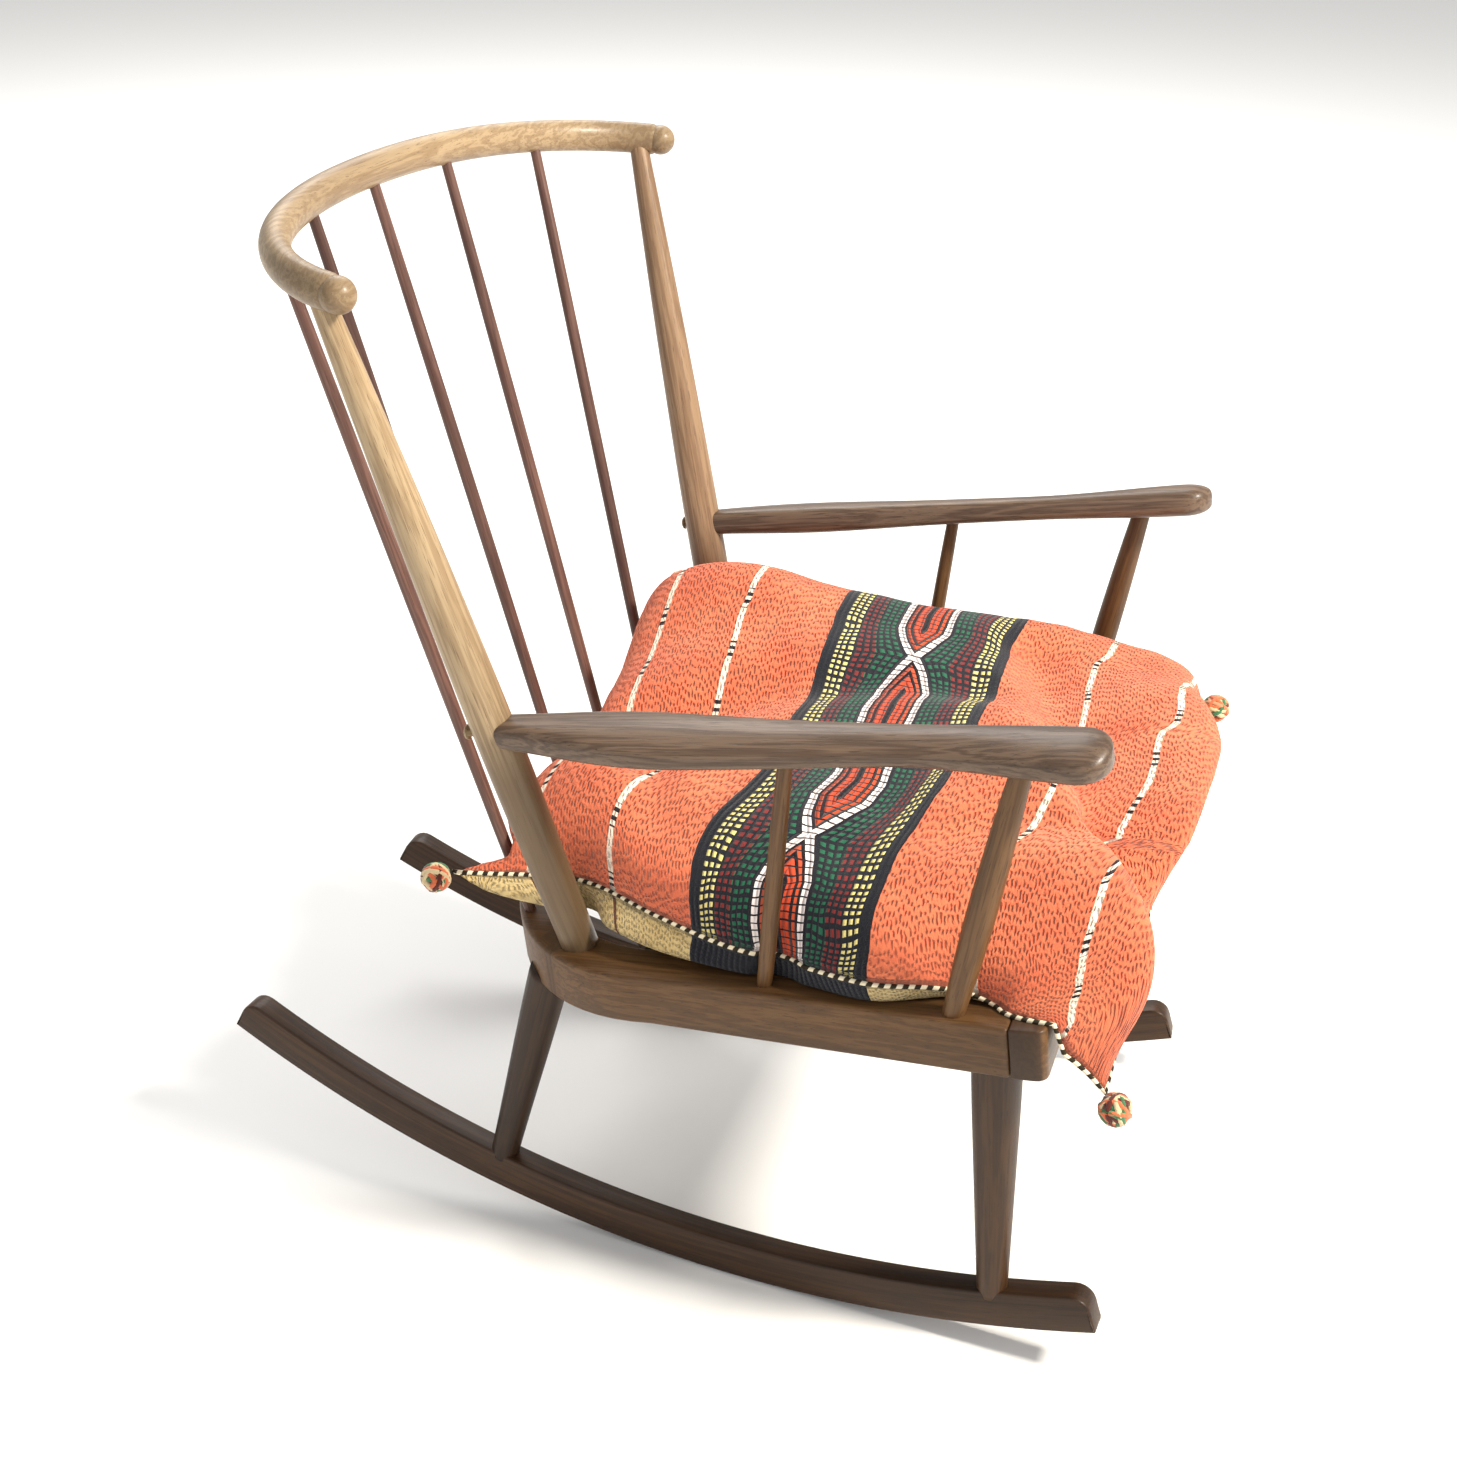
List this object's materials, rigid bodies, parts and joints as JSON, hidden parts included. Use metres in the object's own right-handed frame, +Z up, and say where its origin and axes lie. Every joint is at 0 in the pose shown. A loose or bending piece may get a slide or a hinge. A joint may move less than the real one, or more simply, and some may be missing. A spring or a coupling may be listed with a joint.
{
  "type": "rocking chair",
  "caption": "Spindle-backed wooden rocking chair with a bowed crest rail, paddle arms, curved rockers, rubber webbing in the seat frame and a loose woven cushion with yarn pompons.",
  "frame": {"origin": "centre of the footprint, on the floor the rockers stand on", "axes": "+Z up, the chair faces -Y, +X is the sitter's left"},
  "size_m": [0.6258, 0.8046, 0.8659],
  "materials": {
    "dark_wood": "satin varnish, dark stain",
    "light_wood": "satin varnish, worn to a golden tan",
    "clip_steel": "plain",
    "webbing": "matt ribbed",
    "woven_cover": "heavy cotton weave with woven bands",
    "yarn": "wound wool yarn"
  },
  "bodies": {
    "chair": {"rocker_right": "dark_wood", "leg_front_right": "dark_wood", "leg_rear_right": "dark_wood", "arm_right": "dark_wood", "arm_support_front_right": "dark_wood", "arm_support_mid_right": "dark_wood", "rocker_left": "dark_wood", "leg_front_left": "dark_wood", "leg_rear_left": "dark_wood", "arm_left": "dark_wood", "arm_support_front_left": "dark_wood", "arm_support_mid_left": "dark_wood", "seat_bow": "dark_wood", "front_rail": "dark_wood", "spindle_1": "dark_wood", "spindle_2": "dark_wood", "spindle_3": "dark_wood", "spindle_4": "dark_wood", "spindle_5": "dark_wood", "post_right": "light_wood", "arm_plug_right": "light_wood", "post_left": "light_wood", "arm_plug_left": "light_wood", "crest_rail": "light_wood", "strap_clip_right_1": "clip_steel", "strap_clip_left_1": "clip_steel", "strap_clip_right_2": "clip_steel", "strap_clip_left_2": "clip_steel", "strap_clip_right_3": "clip_steel", "strap_clip_left_3": "clip_steel", "strap_clip_right_4": "clip_steel", "strap_clip_left_4": "clip_steel", "strap_clip_right_5": "clip_steel", "strap_clip_left_5": "clip_steel", "strap_1": "webbing", "strap_2": "webbing", "strap_3": "webbing", "strap_4": "webbing", "strap_5": "webbing"},
    "cushion": {"cushion": "woven_cover", "pompon_right_front": "yarn", "pompon_left_front": "yarn", "pompon_right_rear": "yarn", "pompon_left_rear": "yarn"}
  },
  "joints": [
    {"name": "cushion_lift", "type": "slide", "parent": "chair", "child": "cushion", "axis": [0, 0.262, 0.9651], "range_m": [0, 0.04]}
  ]
}
